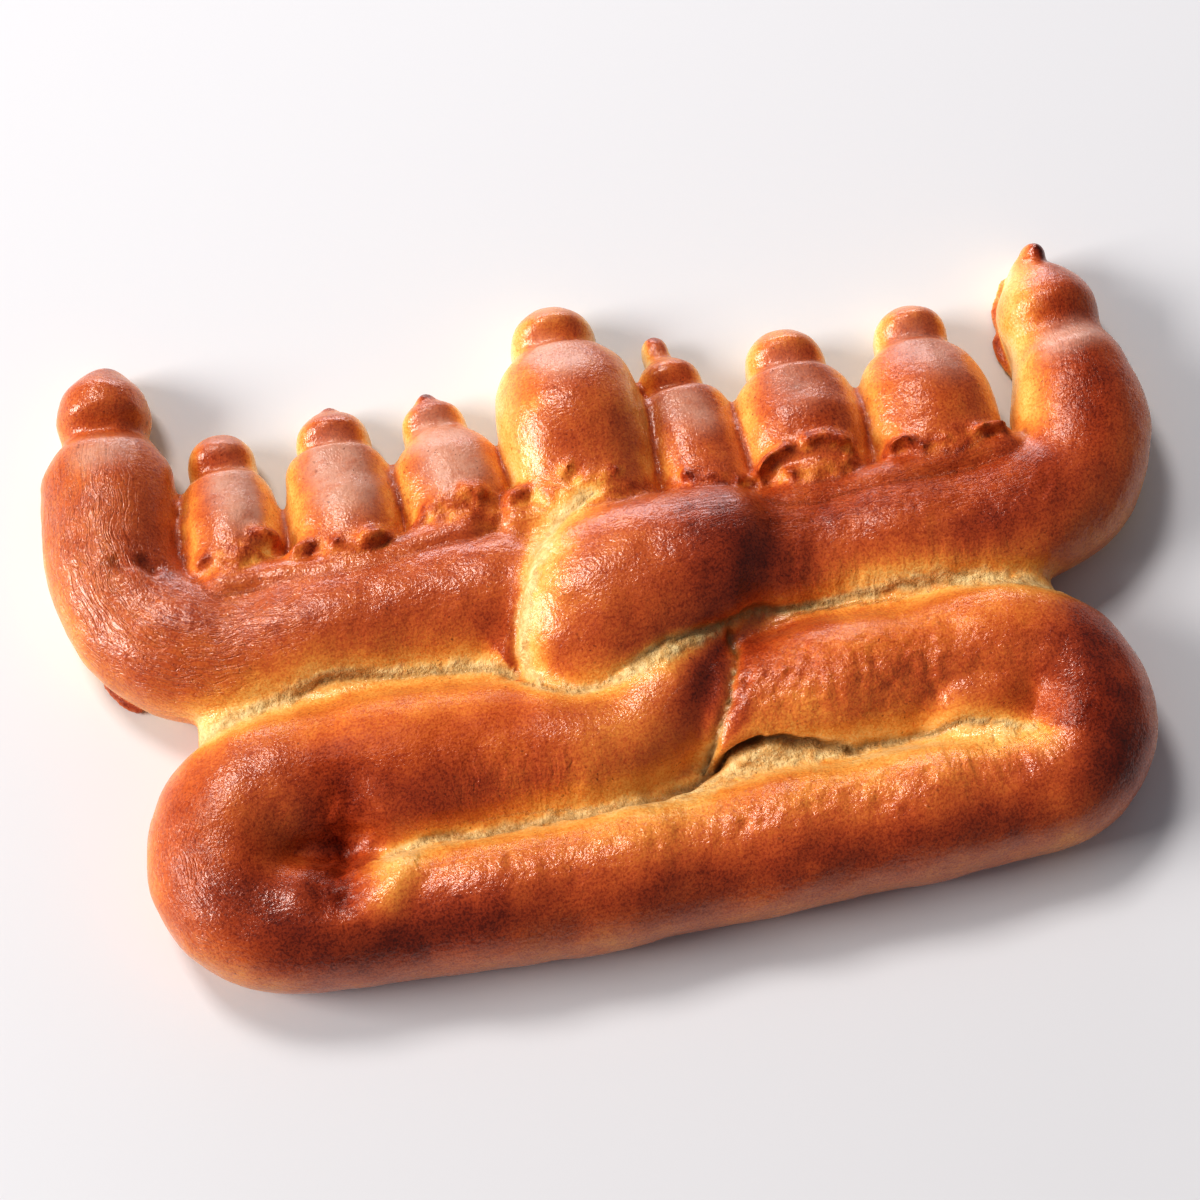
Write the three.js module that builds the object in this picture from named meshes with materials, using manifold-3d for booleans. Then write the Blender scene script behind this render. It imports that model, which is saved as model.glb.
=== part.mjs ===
// A menorah-shaped challah: one loaf of braided egg bread, baked flat on its back.
//
// One long rope of dough makes the stand and the two outer arms. Its middle is the stand's front,
// both ends turn back along the stand, hook round each other in a knot at the centre, and run out
// again as the left and right arms, which bend up into the two outer candles. Seven smaller rolls,
// the middle one the largest, are pressed against the arms as the other candles. In the oven it all
// grows into one piece, so the loaf is one solid.
//
// Millimetres. X runs along the stand, Y from the stand to the flames, and Z is up off the table.
// The origin is the middle of the loaf's box, on the table.

import * as THREE from "three";
import { mergeVertices } from "three/addons/utils/BufferGeometryUtils.js";
import Module from "manifold-3d";

// Driving dimensions of the baked rope
const ROPE_WIDTH = 56;
const ROPE_HEIGHT = 43;
const ARM_WIDTH = 52;
const ARM_HEIGHT = 41;
const KNOT_WIDTH = 79;
const KNOT_HEIGHT = 52;
const HOOK_WIDTH = 47;
const HOOK_HEIGHT = 46;

// The stand is a racetrack: two straight strands that touch, joined by a half turn at each end
const STAND_LEFT = { x: -128, y: -65, radius: 26 };
const STAND_RIGHT = { x: 141, y: -68, radius: 28 };
const STAND_BACK = -41;
const STAND_FRONT = -97;

// The arms' straight stretches and the uprights that they bend up into
const LEFT_ARM = { y: 19, upright: -176, bend: 43, flameTip: [-168.5, 151.5] };
const RIGHT_ARM = { y: 10, upright: 200, bend: 42, flameTip: [200.5, 125] };

// How a piece of dough meets the table: its widest level, as a share of its height, and how square
// its section is, where 2 is an ellipse
const WIDEST_LEVEL = 0.41;
const SQUARENESS = 2.35;

// Mesh fineness
const STEP = 10;
const ROPE_FACETS = 20;
const CANDLE_STEP = 6;
const CANDLE_FACETS = 15;
const STRIP_FACETS = 10;

const CRUST_COLOUR = 0xa9501f;
const CRUST_ROUGHNESS = 0.45;

// The seven rolls between the arms, from left to right. A foot lies in the arm, a tip is the end of
// the flame, and the neck is a share of the way from foot to tip.
const CANDLES = [
  { foot: [-131, 42], tip: [-128.5, 110.5], body: 42, bodyHeight: 33, neck: 0.76, flame: 27 },
  { foot: [-88, 42], tip: [-85, 110], body: 45, bodyHeight: 35, neck: 0.76, flame: 28 },
  { foot: [-43, 46], tip: [-47, 108.5], body: 47, bodyHeight: 35, neck: 0.72, flame: 25 },
  { foot: [8, 44], tip: [9, 138], body: 58, bodyHeight: 45, neck: 0.8, flame: 34 },
  { foot: [55, 34], tip: [50.5, 109], body: 40, bodyHeight: 33, neck: 0.78, flame: 24 },
  { foot: [94, 36], tip: [98, 109.5], body: 50, bodyHeight: 36, neck: 0.77, flame: 30 },
  { foot: [143, 34], tip: [150.5, 109.5], body: 53, bodyHeight: 38, neck: 0.78, flame: 29 },
];

// Rolled lips of dough where a candle's foot has torn away from the arm
const LIPS = [
  { route: [[73, 51], [96, 58], [120, 52]], width: 13, height: 36 },
  { route: [[-92, 52], [-80, 52.5], [-68, 56]], width: 11, height: 37 },
  { route: [[-53, 52], [-40, 55], [-26, 54]], width: 9, height: 37 },
];

// The pinched-up wick on the fifth roll's flame, and the lump of dough on the right arm's flame
const PINCHES = [
  { route: [[50, 100], [49.5, 109], [49, 120]], width: 10, height: 11 },
  { route: [[199, 112], [197, 119], [195, 125]], width: 10, height: 12 },
];

// Thin crisp frills where egg wash ran down to the table
const FRILLS = [
  { route: [[192, 80], [188, 90], [190, 100]], width: 9, height: 3 },
  { route: [[190, 97], [187, 106], [191, 114], [196, 120]], width: 8, height: 3.5 },
  { route: [[-189, 27], [-183, 16], [-175, 9]], width: 7, height: 2.5 },
];

// Stretched pale crumb that fills the seams between strands, well below their tops
const SEAMS = [
  { route: [[-138, -66], [-60, -73], [0, -73]], width: 27, height: 27 },
  { route: [[-8, -73], [32, -64], [80, -70], [154, -69]], width: 29, height: 23 },
  { route: [[-158, -16], [-116, -9], [-62, -11], [-30, -16]], width: 24, height: 27 },
  { route: [[40, -18], [75, -15], [113, -17], [174, -26]], width: 24, height: 27 },
  { route: [[-38, -16], [-34, 8], [-24, 34]], width: 20, height: 30 },
  { route: [[42, -20], [43, -44], [44, -66]], width: 22, height: 29 },
  { route: [[-152, 43], [-108, 43], [-62, 46], [-20, 48]], width: 20, height: 25 },
  { route: [[62, 41], [120, 38], [174, 37]], width: 20, height: 25 },
];

// Crags are torn lumps of crust along the seams between the candles' feet and the arms
const CRAG_SIZE = [6, 11];
const CRAG_SPACING = 11;
const CRAG_SEAMS = [
  { from: [-150, 50], to: [-118, 49], level: 30 },
  { from: [-99, 49], to: [-72, 51], level: 31 },
  { from: [-60, 53], to: [-30, 54], level: 31 },
  { from: [-12, 51], to: [24, 49], level: 35 },
  { from: [122, 45], to: [168, 40], level: 32 },
];

// A repeatable stand-in for chance: numbers from 0 to 1
function seededDraw(seed) {
  let state = seed;
  return () => {
    state = (state * 1664525 + 1013904223) % 4294967296;
    return state / 4294967296;
  };
}

// Dough never rises evenly: a swell of a few percent, by place
function swell(x, y) {
  return 1 + 0.02 * Math.sin(x / 19 + y / 33) + 0.015 * Math.sin(x / 9 - y / 14 + 2);
}

// A value read from stations [share along, value], eased from each station to the next
function atStations(stations, share) {
  const next = stations.findIndex(([at]) => at >= share);
  if (next === -1) return stations.at(-1)[1];
  if (next === 0) return stations[0][1];
  const [fromAt, from] = stations[next - 1];
  const [toAt, to] = stations[next];
  return THREE.MathUtils.lerp(from, to, THREE.MathUtils.smoothstep(share, fromAt, toAt));
}

// The round end of a piece of dough, as a share of its full girth at a distance from the end
function roundedEnd(distance, length) {
  const reach = Math.min(distance / length, 1);
  return Math.sqrt(Math.max(0, 1 - (1 - reach) ** 2));
}

// A power that squares off a circle's sine or cosine
function squareOff(value) {
  return Math.sign(value) * Math.abs(value) ** (2 / SQUARENESS);
}

// A piece of dough that lies on the table: a lathed spindle, bent along its route and pressed to
// its width and height. Widths and heights are stations along the route, and ends are the lengths
// of its two round ends. Crowding is how much closer the rings lie at the route's end than at its
// start, from -1 to 1.
function layDough({ route, widths, heights, ends, step = STEP, facets = ROPE_FACETS, crowding = 0 }) {
  const curve = new THREE.CatmullRomCurve3(
    route.map(([x, y]) => new THREE.Vector3(x, y, 0)),
    false,
    "centripetal",
  );
  const length = curve.getLength();
  const rings = Math.ceil(length / step);
  const spindle = [];
  for (let ring = 0; ring <= rings; ring++) {
    const even = ring / rings;
    const skewed = even + crowding * even * (1 - even);
    // both ends round off, so rings lie closer there too
    const share = THREE.MathUtils.lerp(skewed, 0.5 - 0.5 * Math.cos(Math.PI * skewed), 0.25);
    const along = share * length;
    const girth = roundedEnd(along, ends[0]) * roundedEnd(length - along, ends[1]);
    spindle.push(new THREE.Vector2(ring % rings === 0 ? 0 : girth, share));
  }
  const geometry = new THREE.LatheGeometry(spindle, facets);
  const position = geometry.getAttribute("position");
  for (let i = 0; i < position.count; i++) {
    const share = position.getY(i);
    const across = position.getX(i);
    const upward = position.getZ(i);
    const girth = Math.hypot(across, upward) || 1;
    const centre = curve.getPointAt(share);
    const heading = curve.getTangentAt(share);
    const uneven = swell(centre.x, centre.y);
    const halfWidth = 0.5 * atStations(widths, share) * uneven;
    const height = atStations(heights, share) * uneven;
    const level = WIDEST_LEVEL * height;
    const sideways = squareOff(across / girth) * girth * halfWidth;
    const rise = squareOff(upward / girth) * girth * (height - level);
    position.setXYZ(
      i,
      centre.x + heading.y * sideways,
      centre.y - heading.x * sideways,
      level + rise,
    );
  }
  return geometry;
}

const evenly = (value) => [
  [0, value],
  [1, value],
];

// Points on a round turn of the stand, from one angle to another, in degrees
function turn({ x, y, radius }, fromDegrees, toDegrees, count = 6) {
  return Array.from({ length: count + 1 }, (_, i) => {
    const angle = THREE.MathUtils.degToRad(fromDegrees + ((toDegrees - fromDegrees) * i) / count);
    return [x + radius * Math.cos(angle), y + radius * Math.sin(angle)];
  });
}

// The stand runs from the hook that comes up out of the knot, along the back and round the left
// turn, along the front, round the right turn and back to end under the hook
function stand() {
  return layDough({
    route: [[28, 8], [27, -12], [20, -30], [4, -45], [-16, -48], [-36, -44], [-80, STAND_BACK],
      ...turn(STAND_LEFT, 90, 270), [-60, STAND_FRONT + 1], [80, STAND_FRONT + 1],
      ...turn(STAND_RIGHT, -90, 90), [110, STAND_BACK - 1], [70, STAND_BACK - 2], [30, -44]],
    widths: [[0, HOOK_WIDTH - 6], [0.06, HOOK_WIDTH], [0.1, HOOK_WIDTH + 3], [0.16, ROPE_WIDTH + 4],
      [0.24, ROPE_WIDTH + 7], [0.31, ROPE_WIDTH], [0.37, ROPE_WIDTH - 8], [0.6, ROPE_WIDTH - 4],
      [0.7, ROPE_WIDTH - 7], [0.78, ROPE_WIDTH - 4], [0.86, ROPE_WIDTH], [1, ROPE_WIDTH - 4]],
    heights: [[0, 0.6 * HOOK_HEIGHT], [0.027, 0.75 * HOOK_HEIGHT], [0.06, HOOK_HEIGHT - 1],
      [0.1, HOOK_HEIGHT], [0.15, ROPE_HEIGHT], [0.9, ROPE_HEIGHT], [1, ROPE_HEIGHT - 5]],
    ends: [16, 14],
  });
}

// The outer candle's neck and flame are pinched into the end of an arm
function leftArm() {
  const { y, upright, bend, flameTip } = LEFT_ARM;
  return layDough({
    route: [flameTip, [-173, 128], [-174.5, 108], [upright, 84], [upright - 1, y + bend],
      [upright + 8, y + 17], [upright + 32, y + 1], [-104, y], [-62, y + 1], [-14, y]],
    widths: [[0, 10], [0.05, 27], [0.09, 35], [0.115, 33], [0.14, 36], [0.2, ARM_WIDTH],
      [0.5, ARM_WIDTH + 3], [1, ARM_WIDTH + 4]],
    heights: [[0, 12], [0.05, 25], [0.085, 30], [0.12, 24], [0.18, 35], [0.3, ARM_HEIGHT - 2],
      [1, ARM_HEIGHT]],
    ends: [9, 15],
    crowding: -0.35,
  });
}

function rightArm() {
  const { y, upright, bend, flameTip } = RIGHT_ARM;
  return layDough({
    route: [flameTip, [203, 106], [204, 84], [202, 62], [upright - 1, y + bend - 14],
      [upright - 11, y + 11], [upright - 34, y + 1], [122, y], [84, y + 4], [50, y + 4],
      [20, y - 1], [-4, y - 9], [-34, y - 27]],
    widths: [[0, 15], [0.04, 27], [0.09, 35], [0.123, 36], [0.17, 45], [0.23, ARM_WIDTH + 2],
      [0.4, ARM_WIDTH], [0.52, ARM_WIDTH + 3], [0.65, ARM_WIDTH + 6], [0.76, KNOT_WIDTH - 13],
      [0.86, KNOT_WIDTH], [1, KNOT_WIDTH - 4]],
    heights: [[0, 14], [0.05, 27], [0.09, 31], [0.123, 29], [0.18, 37], [0.3, ARM_HEIGHT],
      [0.6, ARM_HEIGHT + 2], [0.8, KNOT_HEIGHT - 2], [0.88, KNOT_HEIGHT], [1, KNOT_HEIGHT - 6]],
    ends: [8, 30],
    crowding: -0.25,
  });
}

// Where the rope comes out behind the knot, below the middle candle
function tuckedRope() {
  return layDough({
    route: [[-34, 46], [-14, 44], [14, 46]],
    widths: evenly(25),
    heights: evenly(34),
    ends: [9, 9],
    step: CANDLE_STEP,
    facets: CANDLE_FACETS,
  });
}

// A roll with a pinched neck and a round flame
function candle({ foot, tip, body, bodyHeight, neck, flame }) {
  const flameMiddle = 0.55 * neck + 0.45;
  return layDough({
    route: [foot, [0.5 * (foot[0] + tip[0]), 0.5 * (foot[1] + tip[1])], tip],
    widths: [[0, body - 3], [0.35, body], [neck - 0.17, 0.86 * body], [neck, 0.88 * flame],
      [flameMiddle, flame], [1, 0.9 * flame]],
    heights: [[0, bodyHeight], [0.4, bodyHeight], [neck - 0.14, 0.84 * bodyHeight],
      [neck, 0.68 * flame], [flameMiddle, 0.8 * flame], [1, 0.75 * flame]],
    ends: [10, 12],
    step: CANDLE_STEP,
    facets: CANDLE_FACETS,
    crowding: 0.45,
  });
}

// A lip, pinch, frill or seam: a low strip of one width and height
function lowStrip({ route, width, height }) {
  return layDough({
    route,
    widths: evenly(width),
    heights: evenly(height),
    ends: [0.6 * width, 0.6 * width],
    facets: STRIP_FACETS,
  });
}

function crags() {
  const draw = seededDraw(7);
  const lumps = [];
  for (const { from, to, level } of CRAG_SEAMS) {
    const length = Math.hypot(to[0] - from[0], to[1] - from[1]);
    const count = Math.round(length / CRAG_SPACING);
    for (let i = 0; i <= count; i++) {
      const size = THREE.MathUtils.lerp(...CRAG_SIZE, draw());
      const share = (i + 0.5 * (draw() - 0.5)) / count;
      const lump = new THREE.IcosahedronGeometry(0.5 * size, 1);
      lump.scale(1 + 0.8 * draw(), 0.7 + 0.3 * draw(), 0.8);
      lump.rotateZ(0.5 * (draw() - 0.5));
      lump.translate(
        THREE.MathUtils.lerp(from[0], to[0], share),
        THREE.MathUtils.lerp(from[1], to[1], share) + 3 * (draw() - 0.5),
        level + 3 * (draw() - 0.5),
      );
      lumps.push(lump);
    }
  }
  return lumps;
}

const wasm = await Module();
wasm.setup();

function asSolid(geometry) {
  const bare = geometry.clone();
  bare.deleteAttribute("normal");
  bare.deleteAttribute("uv");
  const merged = mergeVertices(bare, 1e-4);
  return new wasm.Manifold(
    new wasm.Mesh({
      numProp: 3,
      vertProperties: merged.getAttribute("position").array,
      triVerts: new Uint32Array(merged.getIndex().array),
    }),
  );
}

function asGeometry(solid) {
  const { vertProperties, triVerts } = solid.getMesh();
  const geometry = new THREE.BufferGeometry();
  geometry.setAttribute("position", new THREE.BufferAttribute(vertProperties, 3));
  geometry.setIndex(new THREE.BufferAttribute(triVerts, 1));
  geometry.computeVertexNormals();
  return geometry;
}

// The table that the loaf was baked on gives it a flat underside
function table() {
  const depth = 60;
  const slab = new THREE.BoxGeometry(600, 400, depth);
  slab.translate(0, 0, -0.5 * depth);
  return asSolid(slab);
}

function loaf() {
  const dough = [
    stand(),
    leftArm(),
    rightArm(),
    tuckedRope(),
    ...CANDLES.map(candle),
    ...[...LIPS, ...PINCHES, ...FRILLS, ...SEAMS].map(lowStrip),
    ...crags(),
  ];
  const whole = dough.map(asSolid).reduce((joined, piece) => joined.add(piece));
  const geometry = asGeometry(whole.subtract(table()));
  geometry.computeBoundingBox();
  const { min, max } = geometry.boundingBox;
  geometry.translate(-0.5 * (min.x + max.x), -0.5 * (min.y + max.y), -min.z);
  const crust = new THREE.MeshStandardMaterial({
    color: CRUST_COLOUR,
    roughness: CRUST_ROUGHNESS,
    metalness: 0,
  });
  const mesh = new THREE.Mesh(geometry, crust);
  mesh.name = "challah_loaf";
  return mesh;
}

const menorahChallah = new THREE.Group();
menorahChallah.add(loaf());
export default menorahChallah;
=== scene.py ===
# %% [markdown]
# # A menorah challah
# This lesson models one baked loaf: egg bread, braided into a candelabrum and baked lying flat.
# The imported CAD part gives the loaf's plain form and its exact size. Here the same ropes of dough
# are rolled again, much finer, fused as the oven fuses them, and given a crust.

import math
import random

import bmesh
import bpy
import numpy as np
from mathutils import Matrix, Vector, noise
from mathutils.bvhtree import BVHTree
from mathutils.kdtree import KDTree


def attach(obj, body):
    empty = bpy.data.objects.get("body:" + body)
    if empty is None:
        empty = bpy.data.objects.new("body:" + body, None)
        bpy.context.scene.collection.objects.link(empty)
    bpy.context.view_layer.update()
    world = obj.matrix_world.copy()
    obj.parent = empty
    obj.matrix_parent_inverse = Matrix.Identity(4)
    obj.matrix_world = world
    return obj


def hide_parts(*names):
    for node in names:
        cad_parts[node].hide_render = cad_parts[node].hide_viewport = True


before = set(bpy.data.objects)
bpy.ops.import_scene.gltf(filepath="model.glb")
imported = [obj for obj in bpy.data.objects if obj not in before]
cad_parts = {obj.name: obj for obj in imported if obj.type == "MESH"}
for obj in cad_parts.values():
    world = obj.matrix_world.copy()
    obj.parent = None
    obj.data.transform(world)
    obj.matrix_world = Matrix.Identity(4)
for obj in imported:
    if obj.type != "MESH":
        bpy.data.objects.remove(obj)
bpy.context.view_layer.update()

MM = 0.001
LOAF_CENTRE = np.array([12.105, 14.406])  # the routes' own place of the part's origin

# %% [markdown]
# ## Routes
# A baker rolls each rope straight and then lays it along a curve. A Catmull-Rom curve does the same
# with a few points: it passes through all of them and never kinks. It is cut into steps of a
# millimetre here, so that every later question, such as how far along the rope a point lies, is a
# simple look-up. A Bezier curve would work too, but it needs two handles for each point.


# %% A smooth route through a few points
STEPS_PER_SPAN = 40
SPACING = 1.0  # mm


def smooth_route(points):
    """Points a millimetre apart on a centripetal Catmull-Rom curve."""
    p = np.array(points, float)
    p = np.vstack([2 * p[0] - p[1], p, 2 * p[-1] - p[-2]])
    u = np.linspace(0, 1, STEPS_PER_SPAN, endpoint=False)[:, None]
    spans = []
    for before, start, end, after in zip(p, p[1:], p[2:], p[3:]):
        t0, t1, t2 = (
            math.sqrt(math.dist(a, b))
            for a, b in ((before, start), (start, end), (end, after))
        )
        leave = (start - before) / t0 - (end - before) / (t0 + t1) + (end - start) / t1
        arrive = (end - start) / t1 - (after - start) / (t1 + t2) + (after - end) / t2
        leave, arrive = leave * t1, arrive * t1
        spans.append(
            start
            + leave * u
            + (3 * (end - start) - 2 * leave - arrive) * u**2
            + (2 * (start - end) + leave + arrive) * u**3
        )
    dense = np.vstack(spans + [p[-2:-1]])
    reach = np.r_[0, np.cumsum(np.linalg.norm(np.diff(dense, axis=0), axis=1))]
    even = np.linspace(0, reach[-1], max(4, round(reach[-1] / SPACING)))
    x, y = (np.interp(even, reach, column) for column in dense.T)
    return np.c_[x, y], reach[-1]


def at_stations(stations, share):
    """Values read from stations [share along, value] on a smooth curve that never overshoots."""
    at, value = np.array(stations, float).T
    step, rise = np.diff(at), np.diff(value)
    slope = rise / step
    before, after = slope[:-1], slope[1:]
    both = np.where(before * after > 0, 2 * before * after / (before + after + 1e-12), 0)
    tilt = np.r_[slope[0], both, slope[-1]]
    i = np.clip(np.searchsorted(at, share), 1, len(at) - 1) - 1
    t = np.clip((share - at[i]) / step[i], 0, 1)
    return (
        value[i]
        + tilt[i] * step[i] * (t - 2 * t**2 + t**3)
        + rise[i] * (3 * t**2 - 2 * t**3)
        + tilt[i + 1] * step[i] * (t**3 - t**2)
    )


# %% [markdown]
# ## A piece of dough
# Every piece starts as a ball, which is also how a baker starts. A UV sphere is that ball, and its
# rings of vertices become rings along the rope: the latitude of a vertex says how far along the
# route it goes, and its longitude says where on the section. The section is a squared-off ellipse
# whose widest level lies below the middle, because dough sags on its tray. An extruded circle
# would give the same rope, but it would need its two round ends built apart.

# %% Roll a ball into a rope and lay it on the tray
WIDEST_LEVEL = 0.41
SQUARENESS = 2.08


def swell(x, y):
    """A slow unevenness of a few hundredths, because no rope is rolled quite even."""
    return 1 + 0.02 * np.sin(x / 19 + y / 33) + 0.015 * np.sin(x / 9 - y / 14 + 2)


def square_off(value):
    return np.sign(value) * np.abs(value) ** (2 / SQUARENESS)


def rounded_end(distance, length):
    """How full the section is at a distance from the tip, where the end is this long."""
    return np.sqrt(np.maximum(0, 1 - (1 - np.minimum(distance / length, 1)) ** 2))


def lay_dough(name, kind, route, widths, heights, ends, facets=48, ring_gap=2.5):
    """A piece of dough as a dict: its bmesh, its route and its search tree, in millimetres."""
    line, length = smooth_route(route)
    bm = bmesh.new()
    rings = max(14, round(length / ring_gap))
    bmesh.ops.create_uvsphere(bm, u_segments=facets, v_segments=rings, radius=1)
    ball = np.array([v.co for v in bm.verts])
    share = np.arccos(np.clip(ball[:, 2], -1, 1)) / math.pi
    girth = np.maximum(np.hypot(ball[:, 0], ball[:, 1]), 1e-9)
    steps = np.linspace(0, 1, len(line))
    x, y = np.interp(share, steps, line[:, 0]), np.interp(share, steps, line[:, 1])
    heading = np.gradient(line, axis=0)
    heading /= np.linalg.norm(heading, axis=1)[:, None]
    hx, hy = np.interp(share, steps, heading[:, 0]), np.interp(share, steps, heading[:, 1])
    full = rounded_end(share * length, ends[0]) * rounded_end((1 - share) * length, ends[1])
    full = np.where(girth > 1e-6, full, 0)
    uneven = swell(x, y)
    half_width = 0.5 * at_stations(widths, share) * uneven
    height = at_stations(heights, share) * uneven
    level = WIDEST_LEVEL * height
    sideways = square_off(ball[:, 0] / girth) * full * half_width
    rise = square_off(ball[:, 1] / girth) * full * (height - level)
    for v, co in zip(bm.verts, np.c_[x + hy * sideways, y - hx * sideways, level + rise]):
        v.co = co
    bmesh.ops.recalc_face_normals(bm, faces=bm.faces)
    return {"name": name, "kind": kind, "bm": bm, "line": line, "length": length,
            "tree": BVHTree.FromBMesh(bm)}


def evenly(value):
    return [[0, value], [1, value]]


# %% [markdown]
# ## The stand and the arms
# The stand is a racetrack of one long rope: it comes up out of the knot as a hook, runs along the
# back, round the left turn, along the front and round the right turn. The two arms lie above it.
# The right arm's inner end is the fat bulge of the knot, which lies over the hook. The outer ends
# of both arms bend up and are pinched into a candle with its flame. All sizes are millimetres and
# follow the part's own, so the fine loaf fills the plain one. A rope's widths and heights are
# stations of [share along, size], so one rope can swell, thin out and end in a pinched flame.

# %% Sizes of the ropes
ROPE, ROPE_HIGH = 56, 43
ARM, ARM_HIGH = 52, 41
KNOT, KNOT_HIGH = 79, 52
HOOK, HOOK_HIGH = 47, 46
STAND_BACK, STAND_FRONT = -41, -97


def half_turn(x, y, radius, start, end, count=8):
    angles = np.radians(np.linspace(start, end, count + 1))
    return [[x + radius * math.cos(a), y + radius * math.sin(a)] for a in angles]


# %% Lay the three ropes
stand = lay_dough(
    "stand", "rope",
    [[28, 8], [27, -12], [20, -30], [4, -45], [-16, -48], [-36, -44], [-80, STAND_BACK],
     *half_turn(-128, -65, 26, 90, 270), [-60, STAND_FRONT + 1], [80, STAND_FRONT + 1],
     *half_turn(141, -68, 28, -90, 90), [110, STAND_BACK - 1], [70, STAND_BACK - 2], [20, -45]],
    [[0, HOOK - 6], [0.06, HOOK], [0.1, HOOK + 3], [0.16, ROPE + 4], [0.24, ROPE + 7],
     [0.31, ROPE], [0.37, ROPE - 8], [0.6, ROPE - 4], [0.7, ROPE - 7], [0.78, ROPE - 4],
     [0.86, ROPE], [1, ROPE - 4]],
    [[0, 0.6 * HOOK_HIGH], [0.027, 0.75 * HOOK_HIGH], [0.06, HOOK_HIGH - 1], [0.1, HOOK_HIGH],
     [0.15, ROPE_HIGH], [0.9, ROPE_HIGH], [1, ROPE_HIGH - 5]],
    [16, 14],
)
left_arm = lay_dough(
    "left_arm", "rope",
    [[-168.5, 151.5], [-173, 128], [-174.5, 108], [-176, 84], [-177, 62], [-168, 36], [-144, 20],
     [-104, 19], [-62, 20], [-14, 19]],
    [[0, 6], [0.021, 19], [0.042, 29.5], [0.066, 35], [0.09, 37], [0.118, 33], [0.138, 39],
     [0.19, ARM - 1], [0.5, ARM + 3], [1, ARM + 4]],
    [[0, 15], [0.03, 23], [0.06, 30], [0.09, 31], [0.118, 24], [0.15, 33], [0.3, ARM_HIGH - 2],
     [1, ARM_HIGH]],
    [5, 15],
)
right_arm = lay_dough(
    "right_arm", "rope",
    [[198, 124.5], [200.5, 108], [201.5, 94], [202, 80], [202, 62], [199, 38], [189, 21],
     [166, 11], [122, 10], [84, 13], [50, 14], [20, 9], [-4, 1], [-34, -17]],
    [[0, 8], [0.02, 15], [0.046, 30], [0.07, 37.5], [0.09, 39], [0.118, 37], [0.17, 46],
     [0.23, ARM + 2], [0.4, ARM], [0.52, ARM + 2], [0.65, ARM + 2], [0.7, KNOT - 21],
     [0.78, KNOT - 9], [0.86, KNOT], [1, KNOT - 4]],
    [[0, 17], [0.02, 21], [0.046, 28], [0.085, 34], [0.118, 30], [0.16, 38], [0.3, ARM_HIGH],
     [0.55, ARM_HIGH], [0.64, ARM_HIGH - 1], [0.7, KNOT_HIGH - 5], [0.8, KNOT_HIGH],
     [0.88, KNOT_HIGH], [1, KNOT_HIGH - 6]],
    [4, 30],
)
print("stand", round(stand["length"]), "mm; arms", round(left_arm["length"]),
      round(right_arm["length"]), "mm")

# %% [markdown]
# Pressing the candles on moves dough about. One end is tucked in below the middle candle, and each
# arm's upper edge rises in a low lip against the candles' feet. Three short pieces make that, which
# is simpler than giving the arms a lopsided section.

# %% The tucked end and the arms' lips
tucked = lay_dough("tucked_end", "rope", [[-34, 46], [-14, 44], [14, 46]], evenly(25), evenly(34),
                   [9, 9], facets=28)
left_lip = lay_dough("left_lip", "rope", [[-150, 40], [-120, 40], [-80, 37], [-60, 42], [-30, 46]],
                     evenly(23), evenly(37), [14, 14], facets=28)
right_lip = lay_dough("right_lip", "rope", [[56, 33], [90, 30], [120, 31], [150, 34], [178, 36]],
                      evenly(23), evenly(37), [14, 14], facets=28)
print("lips", round(left_lip["length"]), "and", round(right_lip["length"]), "mm long")

# %% [markdown]
# ## Seven rolls for candles
# Each candle between the arms is a short roll, pressed against the arm at its foot and pinched in
# near its top, so that the last bit stands off as a round flame. The stations along the roll make
# the pinch: the width drops to the neck and swells again to the flame. One function lays all
# seven, and what differs between them is what it is given.


# %% Lay the candles
def lay_candle(name, foot, tip, body, body_high, neck, flame, shoulder):
    """The neck is a share of the length; the shoulder is 1 for a square one and 0 for a cone."""
    middle = 0.5 * neck + 0.5
    square = shoulder * body + (1 - shoulder) * flame
    square_high = shoulder * body_high + (1 - shoulder) * 0.8 * flame
    return lay_dough(
        name, "candle",
        [foot, [0.5 * (foot[0] + tip[0]), 0.5 * (foot[1] + tip[1])], tip],
        [[0, body - 4], [0.4, body], [neck - 0.24, 0.5 * body + 0.5 * (0.2 * flame + 0.8 * body)],
         [neck - 0.11, 0.5 * square + 0.5 * body - 1], [neck - 0.045, 0.6 * square + 0.4 * flame],
         [neck, flame], [middle, 1.02 * flame], [1, 0.94 * flame]],
        [[0, 0.5 * body_high + 16.5], [0.22, 0.5 * body_high + 18.5], [0.45, body_high],
         [neck - 0.22, 0.94 * body_high], [neck - 0.1, 0.5 * square_high + 0.45 * body_high],
         [neck - 0.04, 0.7 * square_high + 0.3 * flame], [neck, 0.72 * flame],
         [middle, 0.88 * flame], [1, 0.74 * flame]],
        [10, 0.56 * flame], facets=40, ring_gap=1.5,
    )


candles = [
    lay_candle("candle_2", [-132, 33], [-130.5, 113.5], 39.5, 34, 0.752, 26.5, 0.5),
    lay_candle("candle_3", [-89, 33], [-86, 114.5], 45.5, 36, 0.762, 30.5, 0.7),
    lay_candle("candle_4", [-43, 36], [-47.5, 111], 46, 35, 0.804, 25, 0.1),
    lay_candle("candle_5", [6, 36], [6.5, 140.5], 58.5, 46, 0.795, 34.5, 0.4),
    lay_candle("candle_6", [52, 27], [47.5, 110.5], 42, 34, 0.783, 27, 0.7),
    lay_candle("candle_7", [91.5, 29], [95, 112], 50.5, 37, 0.75, 32, 0.5),
    lay_candle("candle_8", [140.5, 28], [147.5, 113], 54, 39, 0.77, 31, 0.2),
]

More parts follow.
